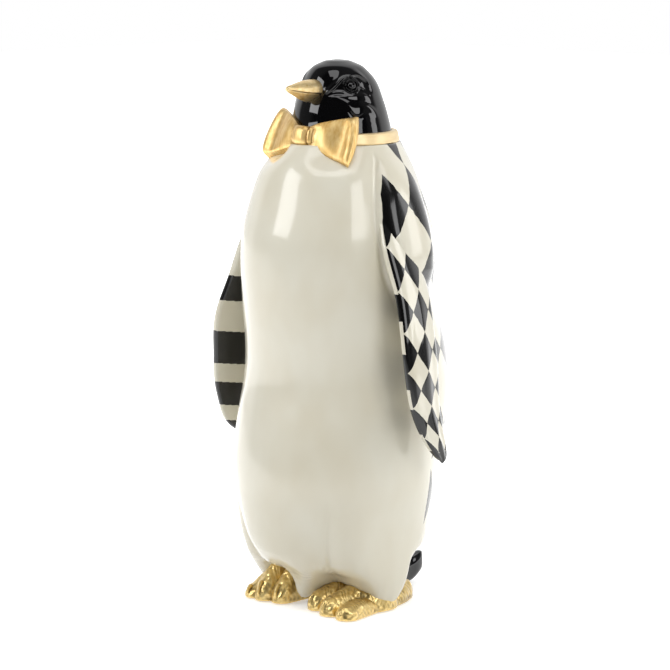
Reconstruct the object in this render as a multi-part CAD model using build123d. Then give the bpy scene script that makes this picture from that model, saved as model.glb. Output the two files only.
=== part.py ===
from build123d import *
import math
import os

# Penguin figurine: hollow resin castings, pinned and glued together, standing on two feet.
# Millimetres, +Z up. The bird faces -Y and its left side is +X. Heights start at the floor.

# the whole bird
total_height = 420
neck_height = 357
body_base = 5
body_half_width = 80
belly_reach = 78
back_reach = 96

# walls and fits
body_wall = 6
head_wall = 5
seat_gap = 0.25
pin_clearance = 0.1
overrun = 30

# body sections: height, half width, front reach and back reach, as shares of
# neck_height, body_half_width, belly_reach and back_reach
body_station_shares = [
    (0.0140, 0.725, 0.551, 0.396),
    (0.0252, 0.762, 0.603, 0.448),
    (0.0448, 0.806, 0.673, 0.510),
    (0.0756, 0.844, 0.769, 0.562),
    (0.1064, 0.869, 0.856, 0.609),
    (0.1289, 0.881, 0.915, 0.652),
    (0.1737, 0.916, 0.991, 0.693),
    (0.2157, 0.955, 1.022, 0.696),
    (0.2577, 0.997, 1.042, 0.702),
    (0.3445, 1.022, 1.014, 0.815),
    (0.4314, 1.000, 0.929, 0.970),
    (0.4790, 0.972, 0.877, 1.000),
    (0.5182, 0.953, 0.864, 0.982),
    (0.5602, 0.938, 0.874, 0.950),
    (0.6471, 0.925, 0.936, 0.797),
    (0.6891, 0.925, 0.956, 0.760),
    (0.7339, 0.927, 0.969, 0.783),
    (0.7759, 0.925, 0.964, 0.802),
    (0.8179, 0.910, 0.938, 0.763),
    (0.8627, 0.872, 0.877, 0.694),
    (0.9048, 0.815, 0.815, 0.630),
    (0.9468, 0.730, 0.751, 0.594),
    (0.9804, 0.637, 0.660, 0.547),
    (1.0000, 0.575, 0.579, 0.526),
]
section_points = 30

# creases and swellings: where they lie round the body, their spread, depth and height
leg_crease_angle = 32
leg_crease_spread = 14
leg_crease_share = 0.16
leg_crease_fade_shares = (0.06, 0.24)
arm_crease_angle = 70
arm_crease_spread = 10
arm_crease_share = 0.05
arm_swell_angle = 92
arm_swell_spread = 17
arm_swell_share = 0.08
arm_fade_shares = (0.66, 0.74, 0.90, 0.98)

# head: height above the neck, half width, front and back, as shares of
# head_height, head_half_width, throat_reach and nape_reach
head_height = total_height - neck_height
head_half_width = 38.5
throat_reach = 35
nape_reach = 44
head_station_shares = [
    (0.000, 1.000, 1.000, 1.000),
    (0.150, 0.995, 0.985, 0.985),
    (0.270, 0.960, 0.950, 0.940),
    (0.400, 0.909, 0.923, 0.886),
    (0.540, 0.835, 0.857, 0.818),
    (0.680, 0.753, 0.771, 0.745),
    (0.800, 0.660, 0.690, 0.614),
    (0.880, 0.555, 0.610, 0.490),
    (0.935, 0.440, 0.500, 0.375),
    (0.975, 0.285, 0.350, 0.235),
    (0.995, 0.120, 0.180, 0.090),
    (1.000, 0.045, 0.090, 0.025),
]

# collar band round the neck, thinner in front where the bow tie covers it
collar_height = 9
collar_foot_thickness = 6.6
collar_rim_thickness = 4.6
collar_front_share = 0.5

# bow tie: a knot and two wings, leaning forward at the bottom
knot_width = 20
knot_height = 15
knot_front = 41.5
knot_depth = 9
knot_lift = 7
knot_round = 3
wing_reach = 44
wing_height = 35
wing_root_height = 12
wing_thickness = 7
wing_root_thickness = 5
wing_front = 28
wing_root_front = 40
wing_lift = 7
wing_lean = 25
wing_root_lean = 13

# beak sections: along its length, size, and rise towards the tip
beak_root_height = 18
beak_root_width = 18.5
beak_tip_reach = 56
beak_height = 396.5
beak_rise = 2.8
beak_station_shares = [
    (0.00, 0.96, -0.20),
    (0.25, 1.00, -0.12),
    (0.50, 0.86, 0.06),
    (0.75, 0.60, 0.45),
    (0.92, 0.30, 0.86),
    (1.00, 0.12, 1.00),
]

# flipper sections: height as a share of shoulder height, centre across and along, chord
# and thickness as shares of flipper_reach, flipper_chord and flipper_thickness, and how far
# the right flipper hangs forward of the left one, as a share of flipper_chord
shoulder_height = 302
flipper_reach = 109
flipper_chord = 42
flipper_thickness = 12
flipper_turn = 10
flipper_station_shares = [
    (1.000, 0.587, -0.214, 0.667, 0.833, 0.00),
    (0.944, 0.650, -0.233, 0.833, 1.083, 0.00),
    (0.887, 0.708, -0.219, 0.917, 1.167, 0.03),
    (0.821, 0.772, -0.186, 0.952, 1.050, 0.10),
    (0.735, 0.837, -0.229, 0.976, 0.983, 0.18),
    (0.619, 0.888, -0.240, 0.964, 0.933, 0.15),
    (0.540, 0.912, -0.219, 0.833, 0.883, 0.16),
    (0.483, 0.934, -0.133, 0.681, 0.817, 0.17),
    (0.434, 0.958, -0.010, 0.452, 0.667, 0.20),
    (0.404, 0.974, 0.071, 0.238, 0.467, 0.16),
]

# feet: sole, heel and three toes each
sole_thickness = 3.75
sole_length = 92
sole_width = 36
sole_place = (41, -3)
sole_outline_shares = [
    (0.00, -0.48), (0.36, -0.42), (0.50, -0.26), (0.42, -0.02), (0.34, 0.16), (0.18, 0.34),
    (-0.16, 0.50), (-0.32, 0.34), (-0.36, 0.12), (-0.40, -0.10), (-0.52, -0.26), (-0.36, -0.40),
]
heel_height = 14
heel_width = 24
heel_length = 26
heel_place = (37, 30)
heel_station_shares = [(-0.50, 0.50), (0.00, 1.00), (0.35, 0.80), (0.50, 0.35)]
toe_root_height = 30
toe_root_width = 18
toe_tip_height = 15.5
toe_tip_width = 14
# roots and ends of the toes, as shares of the sole's width and length from its middle
left_toe_place_shares = [
    ((-0.47, -0.12), (-0.69, -0.47)),
    ((-0.06, -0.12), (-0.10, -0.54)),
    ((0.44, -0.12), (0.40, -0.56)),
]
right_toe_place_shares = [
    ((-0.47, -0.12), (-0.50, -0.45)),
    ((-0.25, -0.12), (-0.28, -0.54)),
    ((0.14, -0.12), (0.15, -0.50)),
]
# along a toe, its size, and the share of its full section left at its rounded end
toe_station_shares = [
    (0.00, 1.00, 1.00),
    (0.35, 0.85, 1.00),
    (0.65, 0.50, 1.00),
    (0.85, 0.12, 1.00),
    (0.97, 0.00, 0.70),
    (1.03, 0.00, 0.20),
]
pad_thickness = 1
pad_margin = 3

# tail sections: reach, width, height and middle, as shares of the four sizes
tail_reach = 92
tail_root_width = 34
tail_root_height = 24
tail_root_lift = 15
tail_station_shares = [
    (0.478, 1.000, 1.000, 1.000),
    (0.652, 0.588, 0.783, 0.733),
    (0.826, 0.382, 0.750, 0.720),
    (0.935, 0.294, 0.550, 0.907),
    (1.000, 0.080, 0.400, 1.060),
]

# pins: radius, and how far each reaches either side of its seam
neck_pin_radius = 12
neck_pin_half = 14
flipper_pin_radius = 4
flipper_pin_half = 9
flipper_pin_height = 263
foot_pin_radius = 2.5
foot_pin_half = 9
foot_pin_lift = 8
foot_pin_seam = 32
left_foot_pin_place = 38
right_foot_pin_place = 31
tail_pin_radius = 3
tail_pin_half = 9
tail_pin_lift = 14
beak_pin_radius = 3
beak_pin_half = 9
bow_pin_radius = 2.5
bow_pin_half = 6

# pour hole under the body and its plug
pour_hole_radius = 18


def smooth_step(value, low, high):
    """0 below low, 1 above high, and a smooth rise between."""
    share = min(max((value - low) / (high - low), 0), 1)
    return share * share * (3 - 2 * share)


def crease(angle, place, spread):
    """1 on the line of a crease on either side of the body, fading to 0 beside it."""
    left = math.exp(-(((angle - place) / spread) ** 2))
    right = math.exp(-(((angle + place) / spread) ** 2))
    return left + right


def oval_wire(height, half_width, front, back, depth_at):
    """Closed smooth outline at a height: two half ovals, drawn in by depth_at(angle)."""
    points = []
    for index in range(section_points):
        angle = 360 * index / section_points - 180
        turn = math.radians(angle)
        inward = 1 - depth_at(angle)
        reach = front if math.cos(turn) > 0 else back
        x = half_width * math.sin(turn) * inward
        y = -reach * math.cos(turn) * inward
        points.append((x, y, height))
    return Wire([Edge.make_spline(points, periodic=True)])


def body_wire(station, growth, height):
    """The body's outline of one station, grown by a distance and drawn at a height."""
    level, width, front, back = station
    leg = leg_crease_share * (1 - smooth_step(level, *leg_crease_fade_shares))
    arm = smooth_step(level, *arm_fade_shares[:2]) * (1 - smooth_step(level, *arm_fade_shares[2:]))

    def depth_at(angle):
        legs = leg * crease(angle, leg_crease_angle, leg_crease_spread)
        arms = arm * arm_crease_share * crease(angle, arm_crease_angle, arm_crease_spread)
        swell = arm * arm_swell_share * crease(angle, arm_swell_angle, arm_swell_spread)
        return legs + arms - swell

    sizes = (body_half_width * width + growth, belly_reach * front + growth, back_reach * back + growth)
    return oval_wire(height, *sizes, depth_at)


def body_loft(growth):
    """The body's outer form grown by a distance, or shrunk where it is negative."""
    return Solid.make_loft([body_wire(station, growth, neck_height * station[0])
                            for station in body_station_shares])


def level_slab(low, high):
    """A wide flat block between two heights."""
    return Pos(0, 0, (low + high) / 2) * Solid.make_box(
        4 * body_half_width, 4 * back_reach, high - low,
        Plane(origin=(-2 * body_half_width, -2 * back_reach, (low - high) / 2)))


def head_loft(growth, low_growth, high_growth):
    """The head's outer form grown by a distance, with its ends moved by two more."""
    span = head_height + high_growth - low_growth
    wires = []
    for z, a, f, k in head_station_shares:
        height = neck_height + low_growth + span * z
        sizes = (head_half_width * a + growth, throat_reach * f + growth, nape_reach * k + growth)
        smallest = head_wall / 4
        sizes = [max(size, smallest) for size in sizes]
        wires.append(oval_wire(height, *sizes, lambda angle: 0))
    return Solid.make_loft(wires)


def collar_loft(growth):
    """Filled cone of the collar's outer form, grown by a distance."""
    wires = []
    rows = ((-growth, collar_foot_thickness), (collar_height + growth, collar_rim_thickness))
    for lift, thickness in rows:
        half_width = head_half_width + thickness + growth
        front = throat_reach + thickness * collar_front_share + growth
        back = nape_reach + thickness + growth
        wires.append(oval_wire(neck_height + lift, half_width, front, back, lambda angle: 0))
    return Solid.make_loft(wires)


def ellipse_loft(rows):
    """Loft through upright or flat ellipses: each row is a plane and its two half sizes."""
    wires = [Wire([Edge.make_ellipse(wide, tall, plane)]) for plane, wide, tall in rows]
    return Solid.make_loft(wires)


def pin(start, direction, radius, length):
    """Round pin from a start point along a direction."""
    return Solid.make_cylinder(radius, length, Plane(origin=start, z_dir=direction))


def bore(start, direction, radius, length):
    """Hole for that pin, wider and longer by the pin's clearance."""
    way = Vector(direction).normalized()
    mouth = Vector(start) - way * pin_clearance
    plane = Plane(origin=mouth, z_dir=way)
    return Solid.make_cylinder(radius + pin_clearance, length + 2 * pin_clearance, plane)


def facing_plane(x, y, z, x_way, y_way):
    """Upright plane at a point that faces along a level direction."""
    way = Vector(x_way, y_way, 0)
    return Plane(origin=(x, y, z), x_dir=Vector(-y_way, x_way, 0), z_dir=way)


def make_flipper(side):
    """Blade of one flipper: lens-like sections from inside the shoulder to the tip."""
    turn = math.radians(flipper_turn)
    chord_way = (-side * math.sin(turn), math.cos(turn), 0)
    rows = []
    for z, x, y, chord, thickness, forward in flipper_station_shares:
        along = y if side > 0 else y - forward
        centre = (side * flipper_reach * x, flipper_chord * along, shoulder_height * z)
        plane = Plane(origin=centre, x_dir=chord_way, z_dir=(0, 0, -1))
        rows.append((plane, flipper_chord * chord / 2, flipper_thickness * thickness / 2))
    return ellipse_loft(rows)


def sole_point(side, share):
    """A place on the sole, from its shares of the sole's width and length."""
    x, y = share
    return side * (sole_place[0] + sole_width * x), sole_place[1] + sole_length * y


def make_toe(side, root_share, tip_share):
    """One toe: upright ellipses that shrink from the instep to the nail."""
    root_x, root_y = sole_point(side, root_share)
    tip_x, tip_y = sole_point(side, tip_share)
    x_way = tip_x - root_x
    y_way = tip_y - root_y
    rows = []
    for along, size, ending in toe_station_shares:
        swell = toe_tip_height + (toe_root_height - toe_tip_height) * size
        width = toe_tip_width + (toe_root_width - toe_tip_width) * size
        plane = facing_plane(root_x + x_way * along, root_y + y_way * along,
                             pad_thickness + swell / 2, x_way, y_way)
        rows.append((plane, width * math.sqrt(ending) / 2, swell * ending / 2))
    return ellipse_loft(rows)


def sole_face(side, inset, height):
    """Outline of one foot's sole, drawn in by an inset."""
    points = []
    for x, y in sole_outline_shares:
        points.append((side * (sole_place[0] + (sole_width - 2 * inset) * x),
                       sole_place[1] + (sole_length - 2 * inset) * y, height))
    return Face(Wire([Edge.make_spline(points, periodic=True)]))


def make_foot(side, toe_places):
    """Sole, heel and toes of one foot as one casting with a flat underside."""
    sole = Solid.extrude(sole_face(side, 0, pad_thickness), Vector(0, 0, sole_thickness))
    heel_rows = []
    for along, size in heel_station_shares:
        plane = facing_plane(side * heel_place[0], heel_place[1] + heel_length * along,
                             pad_thickness + heel_height * size / 2, 0, 1)
        heel_rows.append((plane, heel_width * size / 2, heel_height * size / 2))
    pieces = [ellipse_loft(heel_rows)]
    pieces += [make_toe(side, root, tip) for root, tip in toe_places]
    return sole.fuse(*pieces).cut(level_slab(-overrun, pad_thickness))


def make_wing(side):
    """One wing of the bow tie, from its narrow root to its wide outer end."""
    root = knot_width / 4
    wires = []
    for share in (0, 0.5, 1):
        x = side * (root + (wing_reach - root) * share)
        height = wing_root_height + (wing_height - wing_root_height) * share
        thickness = wing_root_thickness + (wing_thickness - wing_root_thickness) * share
        front = wing_root_front + (wing_front - wing_root_front) * share
        lean = wing_root_lean + (wing_lean - wing_root_lean) * share
        centre = Vector(x, -front + thickness / 2, neck_height + wing_lift)
        plane = Plane(origin=centre, x_dir=(0, 1, 0), z_dir=(1, 0, 0)).rotated((0, 0, -lean))
        wires.append((plane * Rectangle(thickness, height)).wire())
    return Solid.make_loft(wires, ruled=True)


def make_bow():
    """Knot and wings of the bow tie before its back is fitted to the neck."""
    knot = Box(knot_width, knot_depth, knot_height)
    knot = fillet(knot.edges(), knot_round)
    knot = Pos(0, -knot_front + knot_depth / 2, neck_height + knot_lift) * knot
    return knot + make_wing(1) + make_wing(-1)


def make_beak():
    """Pointed beak: ovals that shrink from inside the face to the tip."""
    rows = []
    root_reach = throat_reach / 2
    for along, size, rise in beak_station_shares:
        reach = root_reach + (beak_tip_reach - root_reach) * along
        plane = facing_plane(0, -reach, beak_height + beak_rise * rise, 0, -1)
        rows.append((plane, beak_root_width * size / 2, beak_root_height * size / 2))
    return ellipse_loft(rows)


def make_tail():
    """Short wedge behind the feet, from inside the body to its raised tip."""
    rows = []
    for reach, width, height, middle in tail_station_shares:
        plane = facing_plane(0, tail_reach * reach, tail_root_lift * middle, 0, 1)
        rows.append((plane, tail_root_width * width / 2, tail_root_height * height / 2))
    return ellipse_loft(rows)


body_solid = body_loft(0)
body_seat = body_loft(seat_gap)
body_cavity = body_loft(-body_wall) & level_slab(body_base + body_wall, neck_height - body_wall)
foot_outline = body_wire(body_station_shares[0], seat_gap, body_base - seat_gap)
foot_seat = Solid.extrude(Face(foot_outline), Vector(0, 0, seat_gap))
head_solid = head_loft(0, seat_gap, 0)
head_seat = head_loft(seat_gap, 0, seat_gap)
head_cavity = head_loft(-head_wall, head_wall, -head_wall)

# pins and the bores that hold them
neck_centre = (nape_reach - throat_reach) / 2
neck_row = ((0, neck_centre, neck_height - neck_pin_half), (0, 0, 1), neck_pin_radius, 2 * neck_pin_half)
neck_pin = pin(*neck_row)
neck_bore = bore(*neck_row)
widths = {level: body_half_width * width for level, width, front, back in body_station_shares}
backs = {level: back_reach * back for level, width, front, back in body_station_shares}
side_at_flipper = widths[min(widths, key=lambda level: abs(neck_height * level - flipper_pin_height))]
back_at_tail = backs[min(backs, key=lambda level: abs(neck_height * level - tail_pin_lift))]
faces = {level: throat_reach * front for level, width, front, back in head_station_shares}
face_at_beak = faces[min(faces, key=lambda level: abs(neck_height + head_height * level - beak_height))]
pin_rows = {}
for side, name, foot_pin_place in ((1, "left", left_foot_pin_place), (-1, "right", right_foot_pin_place)):
    start = (side * (side_at_flipper - flipper_pin_half), -flipper_chord / 4, flipper_pin_height)
    pin_rows["flipper_" + name] = (start, (side, 0, 0), flipper_pin_radius, 2 * flipper_pin_half)
    start = (side * foot_pin_place, -foot_pin_seam - foot_pin_half, foot_pin_lift)
    pin_rows["foot_" + name] = (start, (0, 1, 0), foot_pin_radius, 2 * foot_pin_half)
pin_rows["tail"] = ((0, back_at_tail - tail_pin_half, tail_pin_lift), (0, 1, 0), tail_pin_radius,
                    2 * tail_pin_half)
pin_rows["beak"] = ((0, -face_at_beak + beak_pin_half, beak_height), (0, -1, 0), beak_pin_radius,
                    2 * beak_pin_half)
pin_rows["bow"] = ((0, -throat_reach + bow_pin_half - seat_gap, neck_height + knot_lift), (0, -1, 0),
                   bow_pin_radius, 2 * bow_pin_half - 5 * seat_gap)

pins = {name: pin(*row) for name, row in pin_rows.items()}
bores = {name: bore(*row) for name, row in pin_rows.items()}

# pour hole and plug
plug_plane = Plane(origin=(0, 0, body_base))
pour_hole = Solid.make_cylinder(pour_hole_radius, 2 * body_wall, plug_plane)
base_plug = Solid.make_cylinder(pour_hole_radius - seat_gap, body_wall, plug_plane)

# castings, each cut to its neighbours
body = body_solid.cut(body_cavity, pour_hole, neck_bore, bores["flipper_left"], bores["flipper_right"],
                      bores["foot_left"], bores["foot_right"], bores["tail"])
head = head_solid.cut(head_cavity, neck_bore, bores["beak"], bores["bow"])
collar = collar_loft(0).cut(head_seat, body_seat, bores["bow"])
bow = make_bow().cut(collar_loft(seat_gap), head_seat, body_seat, bores["bow"])
beak = make_beak().cut(head_seat, bores["beak"])
tail = make_tail().cut(body_seat, bores["tail"])

nodes = {
    "body_casting": body,
    "head_casting": head,
    "beak": beak,
    "collar_band": collar,
    "bow_tie": bow,
    "tail": tail,
    "base_plug": base_plug,
    "neck_pin": neck_pin,
    "beak_pin": pins["beak"],
    "bow_pin": pins["bow"],
    "tail_pin": pins["tail"],
}
for side, name, toe_places in ((1, "left", left_toe_place_shares), (-1, "right", right_toe_place_shares)):
    flipper = make_flipper(side).cut(body_seat, bores["flipper_" + name])
    foot = make_foot(side, toe_places).cut(body_seat, foot_seat, bores["foot_" + name])
    nodes["flipper_" + name] = flipper
    nodes["foot_" + name] = foot
    nodes["foot_pad_" + name] = Solid.extrude(sole_face(side, pad_margin, 0), Vector(0, 0, pad_thickness))
nodes["flipper_pins"] = Compound([pins["flipper_left"], pins["flipper_right"]])
nodes["foot_pins"] = Compound([pins["foot_left"], pins["foot_right"]])

# the origin is on the floor, under the middle of the whole bird
whole = Compound([piece for piece in nodes.values()]).bounding_box()
middle = Pos(-whole.center().X, -whole.center().Y, 0)

os.makedirs("parts", exist_ok=True)
for name, piece in nodes.items():
    export_step(middle * piece, os.path.join("parts", name + ".step"))
    print(name, len(piece.solids()), round(piece.volume))
print("whole bird", whole.size, "moved by", middle.position)
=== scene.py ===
import bpy
import math
import numpy as np
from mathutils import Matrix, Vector


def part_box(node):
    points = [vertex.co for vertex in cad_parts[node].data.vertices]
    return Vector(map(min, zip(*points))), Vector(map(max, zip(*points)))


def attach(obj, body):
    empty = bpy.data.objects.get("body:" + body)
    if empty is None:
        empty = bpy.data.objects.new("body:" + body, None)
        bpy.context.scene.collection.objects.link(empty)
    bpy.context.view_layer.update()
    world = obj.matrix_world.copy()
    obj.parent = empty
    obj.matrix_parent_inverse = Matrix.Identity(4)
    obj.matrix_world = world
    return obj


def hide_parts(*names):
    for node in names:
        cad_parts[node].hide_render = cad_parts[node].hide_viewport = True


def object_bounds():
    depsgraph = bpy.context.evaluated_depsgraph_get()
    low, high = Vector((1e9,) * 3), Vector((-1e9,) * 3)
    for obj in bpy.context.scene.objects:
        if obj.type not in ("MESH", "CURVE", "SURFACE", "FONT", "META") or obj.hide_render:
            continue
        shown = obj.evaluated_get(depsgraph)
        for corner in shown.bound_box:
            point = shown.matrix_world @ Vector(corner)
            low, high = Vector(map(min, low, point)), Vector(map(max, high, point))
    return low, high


# Penguin ornament in cast resin. Metres, +Z up, the bird faces -Y and its left side is +X.
# Lengths in the dictionaries are millimetres, angles are degrees round the bird's axis,
# counted from its front (-Y) towards its left side. "Side" is that angle without its sign.

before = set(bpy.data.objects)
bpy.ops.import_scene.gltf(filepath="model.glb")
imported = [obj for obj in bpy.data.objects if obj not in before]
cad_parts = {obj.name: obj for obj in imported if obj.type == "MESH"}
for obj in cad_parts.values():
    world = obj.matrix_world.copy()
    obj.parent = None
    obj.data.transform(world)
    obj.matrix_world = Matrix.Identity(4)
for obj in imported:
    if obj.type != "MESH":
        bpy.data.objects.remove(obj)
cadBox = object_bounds()
mm = 0.001
fullTurn = 2 * np.pi
plugLow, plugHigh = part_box("base_plug")
axisY = (plugLow.y + plugHigh.y) / 2  # the bird's own axis, on the middle of the plug
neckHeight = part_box("body_casting")[1].z / mm
totalHeight = cadBox[1][2] / mm


# helpers: curves, meshes and shader nodes

def ramp(value, low, high):
    # 0 below low, 1 above high, smooth in between
    share = np.clip((value - low) / (high - low), 0, 1)
    return share * share * (3 - 2 * share)


def window(value, rise, fall):
    # climbs from 0 to 1 over rise and goes back to 0 over fall, each a low and a high value
    return ramp(value, *rise) * (1 - ramp(value, *fall))


def bell(value, centre, width):
    # 1 at the centre, falling off as exp(-(distance / width) squared)
    return np.exp(-((value - centre) / width) ** 2)


def leanBell(value, centre, lowWidth, highWidth):
    # a bell whose two sides have different widths
    return bell(value, centre, np.where(value < centre, lowWidth, highWidth))


def smoothCurve(at, places, values):
    # natural cubic spline through the values: the second slopes solve one linear system
    places = np.asarray(places, float)
    values = np.asarray(values, float)
    count = len(places)
    gap = np.diff(places)
    system = np.eye(count)
    right = np.zeros(count)
    inner = np.arange(1, count - 1)
    system[inner, inner - 1] = gap[:-1]
    system[inner, inner] = 2 * (gap[:-1] + gap[1:])
    system[inner, inner + 1] = gap[1:]
    right[inner] = 6 * np.diff(np.diff(values) / gap)
    bend = np.linalg.solve(system, right)
    at = np.clip(np.asarray(at, float), places[0], places[-1])
    k = np.clip(np.searchsorted(places, at) - 1, 0, count - 2)
    before = at - places[k]
    after = places[k + 1] - at
    cubic = (bend[k] * after ** 3 + bend[k + 1] * before ** 3) / (6 * gap[k])
    lineA = (values[k] / gap[k] - bend[k] * gap[k] / 6) * after
    lineB = (values[k + 1] / gap[k] - bend[k + 1] * gap[k] / 6) * before
    return cubic + lineA + lineB


def curvesAt(at, stations):
    # each further column of a table, as a smooth curve over its first column
    return [smoothCurve(at, stations[:, 0], column) for column in stations[:, 1:].T]


def spreadOut(low, high, count, closer):
    # count places from low to high, closer together round some of them on both sides of 0:
    # closer has the extra density, middle and spread of each
    fine = np.linspace(low, high, 4000)
    weight = np.cumsum(1 + sum(more * bell(np.abs(fine), middle, wide) for more, middle, wide in closer))
    weight = (weight - weight[0]) / (weight[-1] - weight[0])
    return np.interp(np.linspace(0, 1, count), weight, fine)


def blockPower(angle, power):
    # cosine and sine of an angle, squared off as a superellipse is
    c = np.cos(angle)
    s = np.sin(angle)
    return np.sign(c) * np.abs(c) ** power, np.sign(s) * np.abs(s) ** power


def ovalAt(turn, halfWidth, front, back):
    # x, y and radius on two half ovals, a front one and a back one
    x = halfWidth * np.sin(turn)
    y = -np.where(np.cos(turn) > 0, front, back) * np.cos(turn)
    return x, y, np.hypot(x, y)


def sweepGrid(start, end, rows, columns):
    # places along a path and turns round it, as two arrays of rows by columns
    return np.meshgrid(np.linspace(start, end, rows), np.linspace(0, fullTurn, columns + 1)[:-1],
                       indexing="ij")


def addValues(mesh, key, values):
    # a number at each point of a mesh, for its material to read
    layer = mesh.attributes.new(key, "FLOAT", "POINT")
    layer.data.foreach_set("value", values.ravel().astype(np.float32))


def meshFrom(name, points, faces, attributes):
    # smooth mesh from points in millimetres about the bird's axis
    mesh = bpy.data.meshes.new(name)
    mesh.from_pydata((points * mm + (0, axisY, 0)).tolist(), [], faces)
    mesh.shade_smooth()
    for key, values in attributes.items():
        addValues(mesh, key, values)
    return mesh


def ringMesh(name, points, attributes):
    # closed ring of points (round the neck, round the section, xyz), joined both ways
    count, around, _ = points.shape
    a, b = np.meshgrid(np.arange(count), np.arange(around), indexing="ij")
    after = (a + 1) % count
    beside = (b + 1) % around
    quads = np.stack([a * around + b, after * around + b, after * around + beside,
                      a * around + beside], 2)
    return meshFrom(name, points.reshape(-1, 3), quads.reshape(-1, 4).tolist(), attributes)


def tubeMesh(name, rings, uv=None, attributes=None):
    # closed surface from rings of points (ring, place, xyz): quads between the rings and a fan
    # to a pole at each end
    count, around, _ = rings.shape
    points = np.concatenate([rings.reshape(-1, 3), [rings[0].mean(0), rings[-1].mean(0)]])
    ring, place = np.divmod(np.arange((count - 1) * around), around)
    after = (place + 1) % around
    quads = np.stack([ring * around + place, ring * around + after,
                      (ring + 1) * around + after, (ring + 1) * around + place], 1)
    spot = np.arange(around)
    follow = (spot + 1) % around
    pole = np.full(around, count * around)
    last = (count - 1) * around
    faces = quads.tolist()
    faces += np.stack([follow, spot, pole], 1).tolist()
    faces += np.stack([last + spot, last + follow, pole + 1], 1).tolist()
    values = {key: np.concatenate([value.ravel(), [value[0].mean(), value[-1].mean()]])
              for key, value in (attributes or {}).items()}
    mesh = meshFrom(name, points, faces, values)
    if uv is not None:
        # uv has one place more than the ring, so that the seam doesn't run backwards
        quadPlaces = np.stack([place, place + 1, place + 1, place], 1)
        quadRings = np.stack([ring, ring, ring + 1, ring + 1], 1)
        flat = [uv[quadRings, quadPlaces].reshape(-1, 2)]
        for row, order in ((0, (1, 0)), (count - 1, (0, 1))):
            pair = np.stack([uv[row, spot + order[0]], uv[row, spot + order[1]], uv[row, spot]], 1)
            flat.append(pair.reshape(-1, 2))
        layer = mesh.uv_layers.new(name="surface")
        layer.data.foreach_set("uv", np.concatenate(flat).ravel().astype(np.float32))
    mesh.validate()
    return mesh


def joinTubes(name, meshes):
    # one object from several closed surfaces
    pieces = [bpy.data.objects.new(name, mesh) for mesh in meshes]
    for piece in pieces:
        bpy.context.collection.objects.link(piece)
    if len(pieces) > 1:
        with bpy.context.temp_override(active_object=pieces[0], selected_editable_objects=pieces):
            bpy.ops.object.join()
    return pieces[0]


def finishPiece(name, meshes, material, nodes):
    # the piece rides on the one body of the bird and stands for its CAD nodes
    piece = joinTubes(name, meshes)
    piece.name = name
    piece.data.materials.clear()
    piece.data.materials.append(material)
    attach(piece, "root")
    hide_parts(*nodes)
    print("made", name, len(piece.data.polygons), "faces")
    return piece


def hexColour(code):
    # sRGB hex to the linear values that shaders take
    parts = [int(code[i:i + 2], 16) / 255 for i in (1, 3, 5)]
    return (*(p / 12.92 if p <= 0.04045 else ((p + 0.055) / 1.055) ** 2.4 for p in parts), 1.0)


def addNode(tree, kind, *inputs, output=0, named=None, **settings):
    # one shader node: its settings, and for its sockets, in their order or by name, plain
    # values, hex colours or other nodes' outputs
    node = tree.nodes.new("ShaderNode" + kind)
    for key, value in settings.items():
        setattr(node, key, value)
    for key, value in [*enumerate(inputs), *(named or {}).items()]:
        if isinstance(value, bpy.types.NodeSocket):
            tree.links.new(value, node.inputs[key])
        else:
            node.inputs[key].default_value = hexColour(value) if isinstance(value, str) else value
    return node.outputs[output]


def newMaterial(name, **sockets):
    # a Principled material with its plain values set on its own sockets
    material = bpy.data.materials.new(name)
    material.use_nodes = True
    shader = material.node_tree.nodes["Principled BSDF"]
    for key, value in sockets.items():
        shader.inputs[key.replace("_", " ")].default_value = value
    return material, material.node_tree, shader


# camera: a long lens to the bird's front left, a little above it

view = {
    "azimuth": 44.0,
    "distance": 2500.0,  # level distance from the bird's axis
    "height": 565.0,
    "pitch": 8.140,
    "sideStep": -2.3,
    "focalPixels": 3272.6,
    "framePixels": 670,
    "sensor": 36.0,
}


def levelWay(turnMore=0.0):
    # x and y of the level direction from the bird to the camera, or turned on round the bird
    turn = math.radians(view["azimuth"] + turnMore)
    return math.sin(turn), -math.cos(turn)


def makeCamera():
    x, y = levelWay()
    place = Vector((x, y, 0)) * view["distance"] + Vector((-y, x, 0)) * view["sideStep"]
    place.z = view["height"]
    data = bpy.data.cameras.new("camera")
    data.sensor_width = view["sensor"]
    data.lens = view["focalPixels"] / view["framePixels"] * view["sensor"]
    data.clip_end = 100
    camera = bpy.data.objects.new("camera", data)
    camera.location = place * mm + Vector((0, axisY, 0))
    camera.rotation_euler = (math.radians(90 - view["pitch"]), 0, math.radians(view["azimuth"]))
    bpy.context.collection.objects.link(camera)
    bpy.context.scene.camera = camera


makeCamera()
print("camera set")


# materials

glaze = {
    "ivory": "#DAD6C6", "ivoryWarm": "#D5CFBC", "black": "#030303",
    "mottle": 34.0, "mottleSpread": (0.35, 0.7),  # size and contrast of the enamel's cloudy tone
    "brush": 3.2, "brushDeep": 0.02,  # spacing and depth of brush marks under the lacquer
    "sag": 14.0, "sagDeep": 0.12,  # slow swells of the levelled lacquer
    "wobble": 5.0, "wobbleShare": 0.055,  # length of the hand's wavering, and its share of a cell
    "edgeWaver": 9.0, "edgeReach": 1.6,  # wavering of the edge between pattern and plain front
    "backCell": (40.84, 57.0),  # width and height of a lozenge on the back
    "flipperCell": (21.0, 31.0),
    # the head's and tail's lacquer: tones, size of their patches, its swells and their depth
    "blackTones": ("#040405", "#010102"), "blackPatch": 18.0, "blackSag": 11.0, "blackSagDeep": 0.08,
}


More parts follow.
